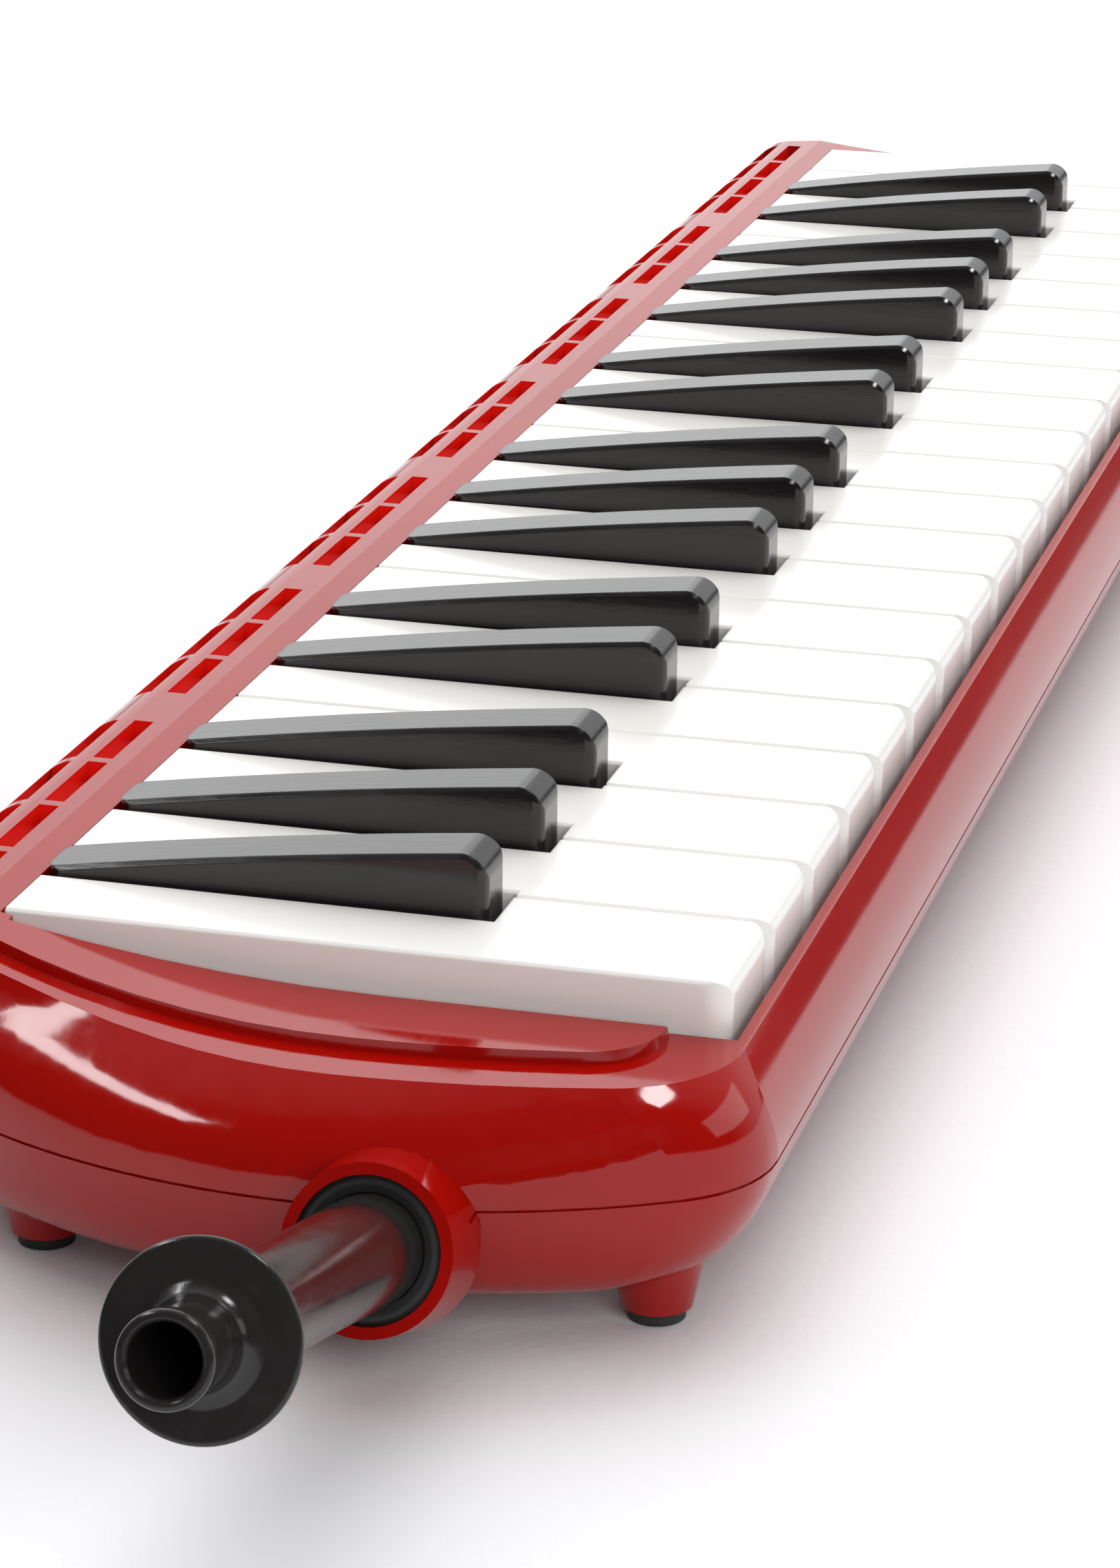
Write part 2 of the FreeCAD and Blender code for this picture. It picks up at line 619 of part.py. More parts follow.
def vent_slots():
    slots = []
    for place_in_row, count, nudge in SLOT_GROUPS:
        for i in range(count):
            along = f"Dims.slot_pitch * ({i - (count - 1) / 2 + nudge})"
            start = f"{MIDDLE} + Dims.slot_group * ({place_in_row}) + {along} - Dims.slot_length / 2"
            end = f"({start}) + Dims.slot_length"
            for row in ("front", "rear"):
                near, far = f"Dims.slot_{row}", f"Dims.slot_{row}_end"
                slots.append(box(f"slot_{row}_{len(slots)}", (start, near, -9), (end, far, 3)))
    return group("vent_slots", slots)


def seam_groove():
    level = "Dims.parting - Dims.seam / 2"
    depths = [("seam_outside", -3), ("seam_inside", "Dims.seam")]
    rims = [extrude(case_outline(name, level, inset, inset, inset), "Dims.seam") for name, inset in depths]
    return cut("seam_groove", *rims)


def collar(name, low, high):
    """The part of the air socket's collar between two levels."""
    cone = inward(f"{name}_cone", "Dims.rim_radius", "Dims.collar_length", "Dims.collar_radius")
    near, far = ("Dims.rim_x - 20", "Dims.rim_y - 20", low), ("Dims.rim_x + 20", "Dims.rim_y + 20", high)
    slab = box(f"{name}_slab", near, far)
    return common(name, cone, slab)


def case_posts():
    """(x, y, top) of the screw posts, two in each end of the case."""
    pair = [("-66", "-6.9"), ("-22", "-5.8")]
    return [(x, y, top) for x in ("-12.5", f"{KEYBOARD_END} + 12.5") for y, top in pair]


def make_upper_case(seam):
    sections = [("Dims.parting", 0, 0, 0, 0), ("-12", 0.9, 1.3, 0, 8), ("-8.6", 2.6, 4.5, 0, 26),
                ("-5.7", 4.7, 8.6, 0, 45), ("1.6", 8.0, 10.2, 0, 60)]
    outer = loft("upper_outer", [case_outline(f"upper_{i}", *section) for i, section in enumerate(sections)])
    margin = common("upper_margin", outer, deck_profile("margin_section", "Dims.margin_step", 5))
    deck = common("upper_deck", deck_profile("deck_section", "0", 5), raised_panels())
    deck_in_case = common("upper_deck_in_case", outer, deck)
    inner_sections = [("Dims.parting - 1", 0, 0), ("-12", 1.5, 8), ("-8.6", 5.1, 26), ("0", 11.4, 60)]
    front = "Dims.rail_inner - Dims.case_front"
    hollow = loft("upper_hollow", [
        case_outline(f"upper_hollow_{i}", z, front, f"Dims.wall + {inset}", "Dims.wall", flatter)
        for i, (z, inset, flatter) in enumerate(inner_sections)
    ])
    ceiling = deck_profile("space_section", "Dims.margin_step + 1.3", 5, True)
    hollow_below_deck = common("upper_space", hollow, ceiling)
    shell = cut("upper_shell", fuse("upper_solid", [margin, deck_in_case]), hollow_below_deck)
    gap = "Dims.opening_gap"
    opening = box("key_opening", (f"-{gap}", "Dims.rail_inner", -40), (f"{KEYBOARD_END} + {gap}", 0, 9))
    places = list(enumerate(case_posts()))
    posts = [rod(f"post_{i}", x, y, "Dims.parting", top, 3.2) for i, (x, y, top) in places]
    solid = fuse("upper_with_posts", [shell, *posts, collar("upper_collar", "Dims.parting", 5)])
    holes = [rod(f"post_hole_{i}", x, y, "Dims.parting - 1", -9.5, 1.2) for i, (x, y, top) in places]
    spaces = fuse("upper_spaces", [opening, rail_space(), socket_bore("upper_bore"), *holes])
    open_case = cut("upper_open", solid, spaces)
    slotted = cut("upper_slotted", open_case, vent_slots())
    part_node(cut("upper_finished", slotted, seam), "upper_case")


def make_vent_screen():
    """Red gauze under the vent slots, which keeps dust off the reeds."""
    ceiling = "Dims.deck_high - Dims.margin_step - 1.3"
    section = free_sketch("screen_section", "YZ_Plane", "Dims.white_pitch * 0.1")
    draw(section, [
        (4.2, f"{ceiling} - 0.5"), (9, f"{ceiling} - 0.6"), (10.9, f"{ceiling} - 1.4"),
        (11.8, f"{ceiling} - 2.6"), (12, f"{ceiling} - 3.6"), (12.4, f"{ceiling} - 3.6"),
        (12.2, f"{ceiling} - 2.4"), (11.2, f"{ceiling} - 1"),
        (9, f"{ceiling} - 0.2"), (4.2, f"{ceiling} - 0.1"),
    ])
    part_node(extrude(section, f"{KEYBOARD_END} - Dims.white_pitch * 0.2"), "vent_screen")


def make_lower_case(seam):
    sections = [("Dims.parting", 0, 0), ("-22.5", 1.5, 0.9), ("-27", 4.6, 3.0),
                ("Dims.case_bottom", 8.5, 6.3)]
    outer = loft("lower_outer", [
        case_outline(f"lower_{i}", z, side, end, side) for i, (z, side, end) in enumerate(sections)
    ])
    feet, recesses = [], []
    for i, (x, y) in enumerate(foot_places()):
        end = "Dims.foot_pad_height - Dims.frame_z"
        feet.append(rod(f"foot_boss_{i}", x, y, end, -24, "Dims.foot_tip", "Dims.foot_radius"))
        recesses.append(rod(f"foot_recess_{i}", x, y, f"{end} - 1", f"{end} + 1", "Dims.foot_pad"))
    inner_sections = [("Dims.parting + 1", 2.2, 2.2), ("-22.5", 3.4, 3.1), ("-25", 4.8, 4.2),
                      ("Dims.case_bottom + Dims.wall", 7.1, 6.5)]
    hollow = loft("lower_hollow", [
        case_outline(f"lower_hollow_{i}", z, side, end, side)
        for i, (z, side, end) in enumerate(inner_sections)
    ])
    shell = cut("lower_shell", fuse("lower_solid", [outer, *feet]), hollow)
    floor = "Dims.case_bottom + 1"
    places = [(x, y) for x, y, top in case_posts()]
    posts = [rod(f"low_post_{i}", x, y, floor, "Dims.parting", 3.2) for i, (x, y) in enumerate(places)]
    stop = free_sketch("stop_section", "YZ_Plane", "2")
    draw(stop, [(-74, floor), (-72, floor), (-72, -18.4), (-69, -18.4), (-69, -17.1), (-77, -17.1),
                (-77, -18.4), (-74, -18.4)])
    stop_rail = extrude(stop, f"{KEYBOARD_END} - 4")
    solid = fuse("lower_with_posts", [shell, *posts, stop_rail, collar("lower_collar", -40, "Dims.parting")])
    drills = []
    below = "Dims.case_bottom - 5"
    for i, (x, y) in enumerate(places):
        drills.append(rod(f"screw_hole_{i}", x, y, below, 0, 1.3))
        drills.append(rod(f"screw_head_hole_{i}", x, y, below, "Dims.case_bottom + 2.4", 2.3))
    drain = rod("drain_hole", "Dims.drain_x", "Dims.drain_y", below, "Dims.case_bottom + 5", 5.0)
    spaces = fuse("lower_spaces", [socket_bore("lower_bore"), *drills, *recesses, drain])
    open_case = cut("lower_open", solid, spaces)
    part_node(cut("lower_finished", open_case, seam), "lower_case")


def foot_places():
    ends = ("-Dims.foot_x", f"{KEYBOARD_END} + Dims.foot_x")
    return [(x, y) for x in ends for y in ("Dims.foot_front", "Dims.foot_rear")]


def make_feet():
    floor = "-Dims.frame_z"
    pads = [rod(f"rubber_{i}", x, y, floor, f"{floor} + Dims.foot_pad_height + 1", "Dims.foot_pad")
            for i, (x, y) in enumerate(foot_places())]
    part_node(group("rubber_pads", pads), "rubber_feet")


def make_case_screws():
    screws = []
    for i, (x, y, top) in enumerate(case_posts()):
        shank = rod(f"shank_{i}", x, y, "Dims.case_bottom + 0.8", -10.5, 1.1)
        head = rod(f"head_{i}", x, y, "Dims.case_bottom + 0.8", "Dims.case_bottom + 2.3", 2.2)
        screws.append(fuse(f"screw_{i}", [shank, head]))
    part_node(group("screws", screws), "case_screws")


# Mouthpiece and air inlet


def turned(name, path, base=("Dims.rim_x", "Dims.rim_y", "Dims.rim_z")):
    """A piece turned round the socket's axis. path holds (distance out of the rim, radius)."""
    body = doc.addObject("PartDesign::Body", name)
    sketch = body_sketch(body, f"{name}_half", "XZ_Plane")
    draw(sketch, path)
    doc.recompute()
    turn = body.newObject("PartDesign::Revolution", f"{name}_turn")
    turn.Profile = sketch
    turn.ReferenceAxis = (sketch, ["H_Axis"])
    turn.Angle = 360
    spot = "; ".join(f"{base[i]} + Dims.frame_{axis}" for i, axis in enumerate("xyz"))
    turned_by = "rotation(180 + Dims.socket_yaw; -Dims.socket_tilt; 0)"
    bind(body, {"Placement": f"placement(vector({spot}); {turned_by})"})
    nodes.append(body)
    return body


def make_bush():
    inner, face = "Dims.tube_radius + Dims.running_gap", "-Dims.bush_recess"
    end = f"{face} - Dims.bush_length"
    bush = turned("inlet_bush", [
        (end, inner), (face, inner), (f"{face} + 0.5", f"{inner} + 0.9"),
        (f"{face} + 0.5", "Dims.bush_radius - 0.6"),
        (face, "Dims.bush_radius"), (end, "Dims.bush_radius"),
    ])
    bush.Label = "inlet_bush"


def make_mouthpiece():
    """One moulding: spigot, tube, lip guard and nozzle, with a groove for the seal ring."""
    bore, tube, guard = "Dims.bore_radius", "Dims.tube_radius", "Dims.guard_radius"
    out, thick = "Dims.tube_length", "Dims.guard_thick"
    tip = f"{out} + {thick} + Dims.nozzle_length"
    root = f"{out} + {thick}"
    groove, depth = -6.4, 1.0
    mouthpiece = turned("mouthpiece", [
        ("-Dims.spigot", bore), ("-Dims.spigot", f"{tube} - 0.4"), (f"{groove} - 0.8", f"{tube} - 0.05"),
        (f"{groove} - 0.8", f"{tube} - {depth}"), (f"{groove} + 0.8", f"{tube} - {depth}"),
        (f"{groove} + 0.8", tube),
        (2, tube), (f"{out} - 1.5", "Dims.tube_end", (f"{out} - 0.5", "Dims.tube_end + 0.35")),
        (out, "Dims.tube_end + 1.4"),
        (out, f"{guard} - 0.5", (f"{out} + 0.15", f"{guard} - 0.1")), (f"{out} + {thick} / 2", guard,
         (f"{root} - 0.15", f"{guard} - 0.1")),
        (root, f"{guard} - 0.5"), (root, "Dims.nozzle_root", (f"{root} + 0.75", "Dims.nozzle_neck + 0.65")),
        (f"{root} + 2.6", "Dims.nozzle_neck"),
        (f"{tip} - 2.6", "Dims.nozzle_neck"), (f"{tip} - 1.7", "Dims.nozzle_lip"),
        (f"{tip} - 0.5", "Dims.nozzle_lip", (f"{tip} - 0.15", "Dims.nozzle_lip - 0.15")),
        (tip, "Dims.nozzle_lip - 0.5"), (tip, f"{bore} + 0.3"), (f"{tip} - 0.4", bore),
    ])
    mouthpiece.Label = "mouthpiece"
    ring = turned("mouthpiece_seal", [
        (f"{groove} - 0.7", f"{tube} - {depth - 0.02}"), (f"{groove} + 0.7", f"{tube} - {depth - 0.02}"),
        (f"{groove} + 0.7", f"{tube} - 0.3", (groove, f"{tube} + 0.02")),
        (f"{groove} - 0.7", f"{tube} - 0.3"),
    ])
    ring.Label = "mouthpiece_seal"


def make_inlet_duct():
    block = box("duct_block", (-21.6, -59.6, "Dims.tray_floor"), (-2, -47.6, -15.4))
    way = box("duct_way", (-23, -58.2, "Dims.tray_floor + 1.4"), (-1, -49, -16.8))
    part_node(cut("duct", block, way), "inlet_duct")


# Key action and wind system


def make_shaft():
    shaft = doc.addObject("Part::Cylinder", "shaft")
    bind(shaft, {"Radius": "Dims.shaft_radius", "Height": f"{KEYBOARD_END} + 6.4"})
    spot = "vector(-3.2 + Dims.frame_x; Dims.pivot_y + Dims.frame_y; Dims.pivot_z + Dims.frame_z)"
    bind(shaft, {"Placement": f"placement({spot}; rotation(0; 90; 0))"})
    shaft.Label = "hinge_shaft"
    nodes.append(shaft)
    plates = []
    for i, start in enumerate(("-3.2", f"{KEYBOARD_END} + 1")):
        section = free_sketch(f"bracket_{i}", "YZ_Plane", start)
        draw(section, [
            ("Dims.pivot_y - 3", "Dims.board_top"), ("Dims.pivot_y + 3", "Dims.board_top"),
            ("Dims.pivot_y + 2", "Dims.pivot_z + 1.5"), ("Dims.pivot_y - 2", "Dims.pivot_z + 1.5"),
        ])
        circle(section, "Dims.pivot_y", "Dims.pivot_z", "Dims.shaft_radius")
        plates.append(extrude(section, "2.2"))
    part_node(group("brackets", plates), "shaft_brackets")


def make_springs():
    """A leaf spring under each key: its foot is on the valve board and its tip pushes the key up."""
    leaves = []
    thick, board = 0.25, "Dims.board_top"
    tip = "-Dims.key_wall - 0.4 - Dims.rest_gap"
    for index, note in enumerate(KEYS):
        section = free_sketch(f"{note}_leaf", "YZ_Plane", f"{tail_centre(index)} - 0.8")
        draw(section, [
            (-36, board), (-31, board), (-29, f"{board} + 0.5"), (-14.5, f"{tip} - 0.55"),
            (-12, f"{tip} - 0.55"), (-12, tip), (-15, tip), (-29.3, f"{board} + 0.5 + {thick * 1.5}"),
            (-31.2, f"{board} + {thick}"), (-36, f"{board} + {thick}"),
        ])
        leaves.append(extrude(section, "1.6"))
    part_node(group("leaves", leaves), "key_springs")


def make_valve_board():
    top, bottom = "Dims.board_top", "Dims.board_top - Dims.board_thick"
    board = box("board", (-2, "Dims.tray_front", bottom), (f"{KEYBOARD_END} + 2", "Dims.tray_rear", top))
    holes = [rod(f"valve_hole_{i}", tail_centre(i), "Dims.pad_y", f"{bottom} - 1", f"{top} + 1", 1.9)
             for i in range(len(KEYS))]
    part_node(cut("board_drilled", board, group("valve_holes", holes)), "valve_board")


def make_wind_tray():
    rim, wall = "Dims.board_top - Dims.board_thick", "Dims.tray_wall"
    block = box("tray_block", (-2, "Dims.tray_front", "Dims.tray_floor"),
                (f"{KEYBOARD_END} + 2", "Dims.tray_rear", rim))
    space = box("tray_space", (f"-2 + {wall}", f"Dims.tray_front + {wall}", f"Dims.tray_floor + {wall}"),
                (f"{KEYBOARD_END} + 2 - {wall}", f"Dims.tray_rear - {wall}", f"{rim} + 1"))
    inlet = box("tray_inlet", (-4, "-58.2", "Dims.tray_floor + 1.6"), (0, "-49", "-16.8"))
    below, above = "Dims.tray_floor - 1", "Dims.tray_floor + 3"
    drain = rod("tray_drain", "Dims.drain_x", "Dims.drain_y", below, above, 1.9)
    part_node(cut("tray", block, fuse("tray_spaces", [space, inlet, drain])), "wind_tray")


def make_reeds():
    last = len(KEYS) - 1
    half_pitch, front, rear = "Dims.tail_pitch / 2", "-46", "Dims.tray_rear - Dims.tray_wall"
    start, end = f"Dims.tail_start - {half_pitch} + 0.4", f"{tail_centre(last)} + {half_pitch}"
    top, bottom = "Dims.board_top - Dims.board_thick", "Dims.cells_bottom"
    block = box("cells_block", (start, front, bottom), (end, rear, top))
    ways, windows, tongues = [], [], []
    plate_low = f"{bottom} - Dims.plate_thick"
    for i in range(len(KEYS)):
        centre = tail_centre(i)
        ways.append(box(f"cell_{i}", (f"{centre} - Dims.cell_width / 2", "-38", f"{bottom} - 1"),
                        (f"{centre} + Dims.cell_width / 2", f"{rear} - 0.6", f"{top} + 1")))
        length = f"Dims.reed_low + (Dims.reed_high - Dims.reed_low) * {i} / {last}"
        low, high = f"{centre} - Dims.reed_width / 2", f"{centre} + Dims.reed_width / 2"
        windows.append(box(f"window_{i}", (f"{low} - 0.1", "Dims.reed_root + 3", f"{plate_low} - 1"),
                           (f"{high} + 0.1", f"Dims.reed_root + 3.2 + {length}", f"{bottom} + 1")))
        tongues.append(box(f"tongue_{i}", (low, "Dims.reed_root", f"{plate_low} - Dims.reed_thick"),
                           (high, f"Dims.reed_root + 3 + {length}", plate_low)))
    screw_x = [tail_centre(i) for i in (1, 9, 16, 20, 28, 35)]
    below = f"{plate_low} - 1"
    drills = [rod(f"plate_drill_{i}", x, "-42", below, "-15.6", 0.9) for i, x in enumerate(screw_x)]
    drill_group = group("plate_drills", drills)
    cells = cut("cells_open", block, group("cells", ways))
    part_node(cut("cells_drilled", cells, drill_group), "reed_cells")
    window_group = group("windows", windows)
    join = f"{tail_centre(18)} - {half_pitch}"
    for name, low, high in (("low", start, f"{join} - 0.1"), ("high", f"{join} + 0.1", end)):
        plate = box(f"plate_{name}", (low, front, plate_low), (high, rear, bottom))
        opened = cut(f"plate_{name}_open", plate, window_group)
        part_node(cut(f"plate_{name}_drilled", opened, drill_group), f"reed_plate_{name}")
    part_node(group("tongues", tongues), "reeds")
    screws = []
    for i, x in enumerate(screw_x):
        head = rod(f"plate_head_{i}", x, "-42", f"{plate_low} - 1.2", plate_low, 1.8)
        shank = rod(f"plate_shank_{i}", x, "-42", f"{plate_low} - 1.2", "-15.8", 0.9)
        screws.append(fuse(f"plate_screw_{i}", [head, shank]))
    part_node(group("plate_screws", screws), "reed_plate_screws")


def make_stop_felt():
    strip = box("felt", (2, -77, -17.1), (f"{KEYBOARD_END} - 2", -69, -14.9))
    part_node(group("felt_strip", [strip]), "key_stop_felt")


def make_drain_valve():
    """A push button under the far end, which lifts a seal off the wind tray's floor to let moisture out."""
    x, y = "Dims.drain_x", "Dims.drain_y"
    inside = "Dims.tray_floor + Dims.tray_wall"
    button = rod("drain_cap", x, y, "Dims.case_bottom - 0.9", "Dims.case_bottom + 1.2", 4.6)
    stem = rod("drain_stem", x, y, "Dims.case_bottom + 1", f"{inside} + 0.7", 1.2)
    head = rod("drain_head", x, y, f"{inside} + 0.65", f"{inside} + 1.5", 3.2)
    part_node(fuse("drain_push", [button, stem, head]), "drain_button")
    ring = rod("drain_ring", x, y, f"{inside} + 0.05", f"{inside} + 0.65", 3.2)
    hole = rod("drain_ring_hole", x, y, inside, f"{inside} + 1", 1.25)
    part_node(cut("drain_washer", ring, hole), "drain_seal")
    coil = rod("drain_coil", x, y, "Dims.case_bottom + 1.2", "Dims.tray_floor", 2.6)
    core = rod("drain_coil_core", x, y, "Dims.case_bottom", "Dims.tray_floor + 1", 2.0)
    part_node(cut("drain_spring_ring", coil, core), "drain_spring")


def check_document():
    doc.recompute()
    for obj in doc.Objects:
        if "Invalid" in obj.State or "Error" in obj.State:
            raise RuntimeError(f"{obj.Name} is {obj.State}")
    for obj in nodes:
        shape = obj.Shape
        if shape.isNull() or not shape.isValid() or not shape.Solids:
            raise RuntimeError(f"{obj.Label} has no valid shape")


def write_parts():
    os.makedirs("parts", exist_ok=True)
    for obj in nodes:
        obj.Shape.exportStep(f"parts/{obj.Label}.step")
        box_size = obj.Shape.BoundBox
        print(f"{obj.Label}: {len(obj.Shape.Solids)} solids, {obj.Shape.Volume / 1000:.2f} cm3, "
              f"x {box_size.XMin:.1f}..{box_size.XMax:.1f}, y {box_size.YMin:.1f}..{box_size.YMax:.1f}, "
              f"z {box_size.ZMin:.1f}..{box_size.ZMax:.1f}")


fill_sheet()
make_keys()
shells_seam = seam_groove()
make_upper_case(shells_seam)
make_lower_case(shells_seam)
make_vent_screen()
make_feet()
make_case_screws()
make_bush()
make_mouthpiece()
make_inlet_duct()
make_shaft()
make_springs()
make_valve_board()
make_wind_tray()
make_reeds()
make_stop_felt()
make_drain_valve()
check_document()
write_parts()
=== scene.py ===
import json
import math

import bmesh
import bpy
from mathutils import Euler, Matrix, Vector


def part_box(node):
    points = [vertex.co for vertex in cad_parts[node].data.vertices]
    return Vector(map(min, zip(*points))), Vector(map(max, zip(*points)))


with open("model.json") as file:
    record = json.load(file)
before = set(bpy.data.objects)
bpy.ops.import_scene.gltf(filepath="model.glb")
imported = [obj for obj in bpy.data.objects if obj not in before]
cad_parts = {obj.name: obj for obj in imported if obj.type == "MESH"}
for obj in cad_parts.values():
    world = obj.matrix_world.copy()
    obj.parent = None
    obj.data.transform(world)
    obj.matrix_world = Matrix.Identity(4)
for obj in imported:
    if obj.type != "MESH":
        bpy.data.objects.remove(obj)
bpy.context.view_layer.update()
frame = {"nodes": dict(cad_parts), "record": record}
nodes = frame["nodes"]


# Materials


class Nodes:
    """A material's node tree, with short ways to add the usual nodes."""

    def __init__(self, name):
        self.material = bpy.data.materials.new(name)
        self.material.use_nodes = True
        self.tree = self.material.node_tree
        self.shader = self.tree.nodes["Principled BSDF"]
        self.place = self.add("ShaderNodeTexCoord").outputs["Object"]

    def add(self, kind, **settings):
        node = self.tree.nodes.new(kind)
        for key, setting in settings.items():
            setattr(node, key, setting)
        return node

    def link(self, source, target):
        self.tree.links.new(source, target)

    def fix(self, **values):
        for key, setting in values.items():
            self.shader.inputs[key.replace("_", " ")].default_value = setting

    def stretched(self, scale):
        node = self.add("ShaderNodeMapping")
        self.link(self.place, node.inputs["Vector"])
        node.inputs["Scale"].default_value = scale
        return node.outputs["Vector"]

    def noise(self, scale, detail=4.0, roughness=0.55, stretch=(1, 1, 1)):
        node = self.add("ShaderNodeTexNoise")
        self.link(self.stretched(stretch), node.inputs["Vector"])
        node.inputs["Scale"].default_value = scale
        node.inputs["Detail"].default_value = detail
        node.inputs["Roughness"].default_value = roughness
        return node.outputs["Fac"]

    def wave(self, scale, direction, distortion):
        node = self.add("ShaderNodeTexWave", bands_direction=direction)
        self.link(self.stretched((1, 1, 1)), node.inputs["Vector"])
        node.inputs["Scale"].default_value = scale
        node.inputs["Distortion"].default_value = distortion
        return node.outputs["Fac"]

    def spread(self, source, low, high, start=0.3, end=0.7):
        """Maps a pattern from start..end to low..high."""
        node = self.add("ShaderNodeMapRange")
        self.link(source, node.inputs["Value"])
        for key, setting in zip(("From Min", "From Max", "To Min", "To Max"), (start, end, low, high)):
            node.inputs[key].default_value = setting
        return node.outputs["Result"]

    def maths(self, operation, first, second):
        node = self.add("ShaderNodeMath", operation=operation)
        for socket, source in zip(node.inputs, (first, second)):
            if isinstance(source, (int, float)):
                socket.default_value = source
            else:
                self.link(source, socket)
        return node.outputs["Value"]

    def colours(self, source, *stops):
        """A colour ramp. stops holds (position, colour)."""
        node = self.add("ShaderNodeValToRGB")
        self.link(source, node.inputs["Fac"])
        ramp = node.color_ramp.elements
        while len(ramp) < len(stops):
            ramp.new(0.5)
        for element, (position, colour) in zip(ramp, stops):
            element.position = position
            element.color = (*colour, 1)
        return node.outputs["Color"]

    def finish(self, colour, roughness, height, depth, edge=0.0):
        """Connects the patterns. depth is the relief of height, and edge rounds the look of sharp edges."""
        self.link(colour, self.shader.inputs["Base Color"])
        self.link(roughness, self.shader.inputs["Roughness"])
        bump = self.add("ShaderNodeBump")
        bump.inputs["Strength"].default_value = 1.0
        bump.inputs["Distance"].default_value = depth
        self.link(height, bump.inputs["Height"])
        if edge:
            bevel = self.add("ShaderNodeBevel", samples=4)
            bevel.inputs["Radius"].default_value = edge
            self.link(bevel.outputs["Normal"], bump.inputs["Normal"])
        self.link(bump.outputs["Normal"], self.shader.inputs["Normal"])
        return self.material


def red_shell(name, dark, light):
    """Glossy injection-moulded plastic, with a faint flow pattern and hairline scratches."""
    m = Nodes(name)
    cloud = m.noise(9.0, 3.0)
    colour = m.colours(cloud, (0.3, dark), (0.7, light))
    scratches = m.noise(60.0, 6.0, 0.7, (0.6, 9.0, 9.0))
    roughness = m.maths("ADD", m.spread(scratches, 0.0, 0.06, 0.45, 0.75), m.spread(cloud, 0.05, 0.09))
    m.fix(IOR=1.42, Coat_Weight=0.1, Coat_Roughness=0.03)
    ripple = m.maths("ADD", m.noise(28.0, 2.0), m.maths("MULTIPLY", scratches, 0.12))
    return m.finish(colour, roughness, ripple, 0.00005)


def key_white():
    m = Nodes("key_white")
    cloud = m.noise(14.0, 3.0)
    colour = m.colours(cloud, (0.3, (0.76, 0.745, 0.712)), (0.7, (0.81, 0.795, 0.765)))
    fingers = m.noise(260.0, 3.0, 0.5, (2.0, 0.8, 1.0))
    roughness = m.maths("ADD", m.spread(fingers, 0.0, 0.03, 0.2, 0.8), m.spread(cloud, 0.18, 0.23))
    m.fix(IOR=1.49, Coat_Weight=0.2, Coat_Roughness=0.12)
    m.fix(Subsurface_Weight=0.06, Subsurface_Radius=(0.002, 0.0015, 0.001))
    return m.finish(colour, roughness, fingers, 0.000002, 0.0004)


def key_black():
    m = Nodes("key_black")
    cloud = m.noise(30.0, 4.0)
    colour = m.colours(cloud, (0.3, (0.007, 0.006, 0.006)), (0.7, (0.013, 0.011, 0.011)))
    rubbed = m.noise(220.0, 5.0, 0.7, (5.0, 0.5, 3.0))
    roughness = m.maths("ADD", m.spread(rubbed, 0.0, 0.07, 0.4, 0.7), m.spread(cloud, 0.1, 0.15))
    m.fix(IOR=1.5, Coat_Weight=0.25, Coat_Roughness=0.1)
    return m.finish(colour, roughness, rubbed, 0.00003, 0.0004)


def mouth_black():
    m = Nodes("mouth_black")
    cloud = m.noise(40.0, 4.0)
    colour = m.colours(cloud, (0.3, (0.014, 0.0125, 0.012)), (0.7, (0.021, 0.019, 0.018)))
    marks = m.noise(120.0, 6.0, 0.7, (0.7, 6.0, 6.0))
    roughness = m.maths("ADD", m.spread(marks, 0.0, 0.1, 0.45, 0.7), m.spread(cloud, 0.1, 0.16))
    m.fix(IOR=1.42, Coat_Weight=0.1, Coat_Roughness=0.06)
    return m.finish(colour, roughness, marks, 0.00003, 0.0003)


def rubber():
    m = Nodes("soft_rubber")
    grain = m.noise(900.0, 5.0, 0.6)
    colour = m.colours(m.noise(60.0), (0.3, (0.012, 0.012, 0.012)), (0.7, (0.03, 0.029, 0.028)))
    m.fix(IOR=1.45)
    return m.finish(colour, m.spread(grain, 0.45, 0.7), grain, 0.00008, 0.0003)


def inner_plastic():
    m = Nodes("inner_plastic")
    grain = m.noise(500.0, 4.0)
    colour = m.colours(m.noise(20.0), (0.3, (0.42, 0.42, 0.43)), (0.7, (0.5, 0.5, 0.51)))
    return m.finish(colour, m.spread(grain, 0.42, 0.6), grain, 0.00005, 0.0003)


def metal(name, dark, light, along):
    """Rolled or drawn metal, with fine lines along one direction."""
    m = Nodes(name)
    lines = m.noise(400.0, 6.0, 0.7, along)
    colour = m.colours(lines, (0.3, dark), (0.7, light))
    m.fix(Metallic=1.0)
    return m.finish(colour, m.spread(lines, 0.2, 0.38), lines, 0.00002, 0.0002)


def cloth(name, dark, light, pitch):
    """Woven cloth: two crossed sets of threads, with loose fibres."""
    m = Nodes(name)
    threads = 0.5 / pitch
    weave = m.maths("MULTIPLY", m.wave(threads, "X", 0.4), m.wave(threads, "Y", 0.4))
    fibres = m.noise(2500.0, 5.0, 0.7)
    pattern = m.maths("ADD", weave, m.maths("MULTIPLY", fibres, 0.5))
    colour = m.colours(pattern, (0.15, dark), (0.9, light))
    m.fix(Sheen_Weight=0.3)
    return m.finish(colour, m.spread(fibres, 0.75, 0.95), pattern, 0.0003)


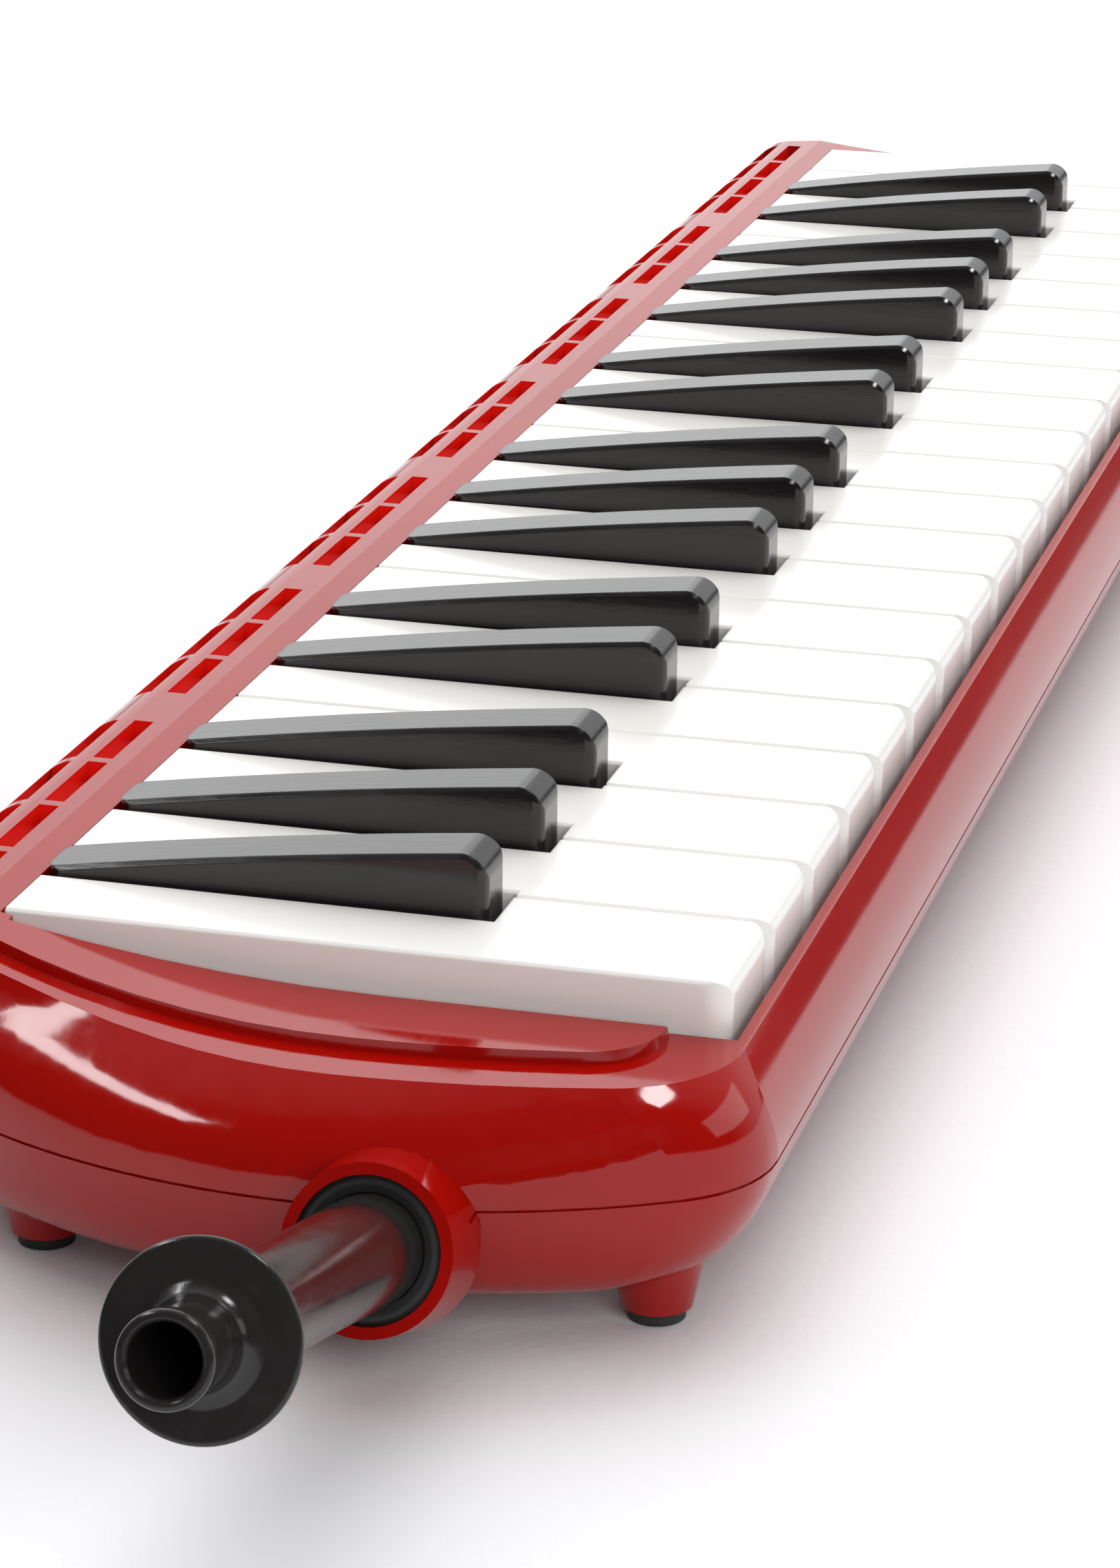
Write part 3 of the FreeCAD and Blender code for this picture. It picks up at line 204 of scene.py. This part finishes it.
# Painted light: a brighter red copy of the shell, put on the vent slot walls to stand in for light coming
# through the thin bars.
painted_slot_light_red = red_shell("painted_slot_light_red", (0.7, 0.009, 0.005), (0.8, 0.013, 0.007))
finishes = {
    "red_shell": red_shell("red_shell", (0.28, 0.0024, 0.001), (0.32, 0.0036, 0.0016)),
    "ivory_white": key_white(),
    "key_black": key_black(),
    "mouthpiece_black": mouth_black(),
    "rubber_black": rubber(),
    "red_gauze": cloth("red_gauze", (0.88, 0.02, 0.014), (1.0, 0.05, 0.035), 0.0007),
    "steel": metal("steel", (0.42, 0.42, 0.42), (0.62, 0.62, 0.61), (0.3, 6.0, 6.0)),
    "spring_steel": metal("spring_steel", (0.4, 0.4, 0.42), (0.58, 0.58, 0.6), (6.0, 0.3, 6.0)),
    "inner_grey": inner_plastic(),
    "plate_metal": metal("plate_metal", (0.62, 0.62, 0.63), (0.76, 0.76, 0.77), (0.3, 6.0, 6.0)),
    "reed_brass": metal("reed_brass", (0.6, 0.42, 0.17), (0.78, 0.58, 0.28), (6.0, 0.3, 6.0)),
    "felt": cloth("felt", (0.12, 0.01, 0.012), (0.38, 0.04, 0.045), 0.0012),
}


for entry in frame["record"]["subparts"]:
    obj = nodes[entry["node"]]
    obj.data.materials.clear()
    obj.data.materials.append(finishes[entry["material_slot"]])


def paint_slot_light(case, screen):
    """Paints the walls of the vent slots a brighter red than the shell: painted light that stands in for
    the light coming through the thin bars.
    """
    past_screen = 0.0007
    low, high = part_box(screen)
    case.data.materials.append(painted_slot_light_red)
    for face in case.data.polygons:
        x, y, z = face.center
        at_screen = low.x < x < high.x and low.y < y < high.y + past_screen and z > low.z
        upright = abs(face.normal.z) < 0.5
        if at_screen and upright:
            # Painted light: the slot walls take the brighter red copy of the shell.
            face.material_index = 1


paint_slot_light(nodes["upper_case"], "vent_screen")


# The studio


def paper():
    m = Nodes("sweep_paper")
    grain = m.noise(700.0, 4.0)
    tint = m.colours(m.noise(1.5, 2.0), (0.2, (0.77, 0.77, 0.782)), (0.8, (0.7777, 0.7777, 0.78982)))
    m.fix(IOR=1.3)
    return m.finish(tint, m.spread(grain, 0.55, 0.65), grain, 0.0001)


def sweep():
    """A pale floor that curves up far behind the object."""
    near, far, half_width, radius, steps = -3.5, 5.0, 4.0, 0.6, 12
    angles = [i * math.pi / 2 / steps for i in range(1, steps + 1)]
    profile = [(near, 0.0), (far, 0.0)]
    profile += [(far + math.sin(a) * radius, radius - math.cos(a) * radius) for a in angles]
    bm = bmesh.new()
    rows = [[bm.verts.new((x, y, z)) for y in (-half_width, half_width)] for x, z in profile]
    for (a, b), (c, d) in zip(rows, rows[1:]):
        bm.faces.new((a, b, d, c)).smooth = True
    mesh = bpy.data.meshes.new("sweep")
    bm.to_mesh(mesh)
    bm.free()
    mesh.materials.append(paper())
    obj = bpy.data.objects.new("sweep", mesh)
    bpy.context.collection.objects.link(obj)
    obj.location.z = -0.0002
    return obj


def panel_light(name, centre, target, size, power, lights_surfaces=True, shows_in_gloss=True):
    light = bpy.data.lights.new(name, "AREA")
    light.shape = "RECTANGLE"
    light.size, light.size_y = size
    light.energy = power
    obj = bpy.data.objects.new(name, light)
    bpy.context.collection.objects.link(obj)
    obj.location = centre
    obj.rotation_euler = (Vector(target) - Vector(centre)).to_track_quat("-Z", "Y").to_euler()
    obj.visible_diffuse = lights_surfaces
    obj.visible_glossy = shows_in_gloss


sweep()

# Soft light that shows in no reflection.
for name, centre, target, size, power in (
    ("far_top", (1.0, -0.1, 1.3), (0.1, 0.0, 0.0), (1.2, 1.6), 16.0),
    ("overhead", (-0.3, 0.1, 1.6), (-0.1, 0.0, 0.0), (2.0, 1.4), 13.0),
    ("front_fill", (-1.3, -0.7, 0.7), (-0.15, 0.0, 0.02), (1.0, 0.8), 12.0),
):
    panel_light(name, centre, target, size, power, shows_in_gloss=False)

# The two bright marks on the rounded end of the case.
for name, centre, target, size, power in (
    ("rear_strip", (-0.45, 0.8, 1.0), (-0.2, 0.0, 0.03), (1.0, 0.14), 6.5),
    ("small_window", (-0.26, -0.55, 1.2), (-0.2, -0.05, 0.03), (0.34, 0.26), 6.0),
):
    panel_light(name, centre, target, size, power, lights_surfaces=False)

# Broad light from the sides.
panel_light("far_side", (1.3, 0.9, 0.8), (0.2, 0.0, 0.0), (2.0, 2.0), 7.0)
panel_light("player_side", (0.3, -1.4, 0.6), (0.1, 0.0, 0.0), (1.2, 0.6), 3.5)


def studio_world():
    """White beyond the far end of the object, and dark on the camera's side."""
    world = bpy.data.worlds.new("studio")
    bpy.context.scene.world = world
    world.use_nodes = True
    tree = world.node_tree
    background = tree.nodes["Background"]
    place = tree.nodes.new("ShaderNodeTexCoord")
    away = tree.nodes.new("ShaderNodeVectorMath")
    away.operation = "DOT_PRODUCT"
    away.inputs[1].default_value = (0.93, 0.2, 0.3)
    tree.links.new(place.outputs["Generated"], away.inputs[0])
    ramp = tree.nodes.new("ShaderNodeValToRGB")
    ramp.color_ramp.elements[0].position = 0.0
    ramp.color_ramp.elements[0].color = (0.05, 0.05, 0.055, 1)
    ramp.color_ramp.elements[1].position = 0.7
    ramp.color_ramp.elements[1].color = (0.97, 0.985, 1.0, 1)
    tree.links.new(away.outputs["Value"], ramp.inputs["Fac"])
    tree.links.new(ramp.outputs["Color"], background.inputs["Color"])
    background.inputs["Strength"].default_value = 0.85


studio_world()

# The camera stands off the mouthpiece end, a little above the keys, and looks along them and down.
view = bpy.data.cameras.new("camera")
view.lens = 109.16
view.sensor_width = 36.0
view.clip_start = 0.05
camera = bpy.data.objects.new("camera", view)
bpy.context.collection.objects.link(camera)
camera.location = (-0.6425, -0.15083, 0.22255)
camera.rotation_euler = Euler([math.radians(angle) for angle in (70.897, -0.446, -74.826)])
bpy.context.scene.camera = camera
bpy.context.scene.view_settings.view_transform = "Standard"
